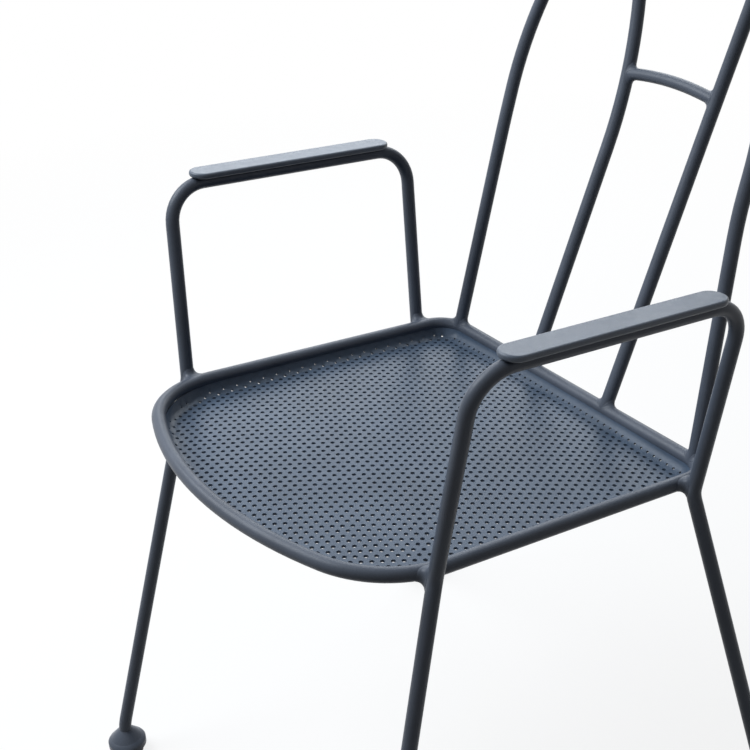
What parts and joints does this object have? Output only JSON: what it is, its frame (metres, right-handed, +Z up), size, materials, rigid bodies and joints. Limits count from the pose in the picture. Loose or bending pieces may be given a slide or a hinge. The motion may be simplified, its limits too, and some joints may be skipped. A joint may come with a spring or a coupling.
{
  "type": "garden armchair",
  "caption": "Welded garden armchair of bent round bar, with a perforated dished seat, an open hoop back and flat armrest pads.",
  "frame": {"origin": "on the floor, under the middle of the chair's bounding box", "axes": "+Z up, -Y the way the sitter faces, +X the sitter's left"},
  "size_m": [0.666, 0.6407, 0.9167],
  "materials": {
    "painted_bar": "satin charcoal powder coat",
    "painted_sheet": "satin charcoal powder coat on perforated sheet",
    "painted_pad": "satin charcoal powder coat",
    "painted_foot": "satin charcoal powder coat",
    "glide": "matte black plastic"
  },
  "bodies": {
    "root": {"seat_ring": "painted_bar", "seat_panel": "painted_sheet", "left_side_frame": "painted_bar", "right_side_frame": "painted_bar", "left_armrest_pad": "painted_pad", "right_armrest_pad": "painted_pad", "back_hoop": "painted_bar", "left_inner_rod": "painted_bar", "right_inner_rod": "painted_bar", "back_crossbar": "painted_bar", "front_left_foot": "painted_foot", "front_left_glide": "glide", "front_right_foot": "painted_foot", "front_right_glide": "glide", "rear_left_foot": "painted_foot", "rear_left_glide": "glide", "rear_right_foot": "painted_foot", "rear_right_glide": "glide"}
  },
  "joints": []
}
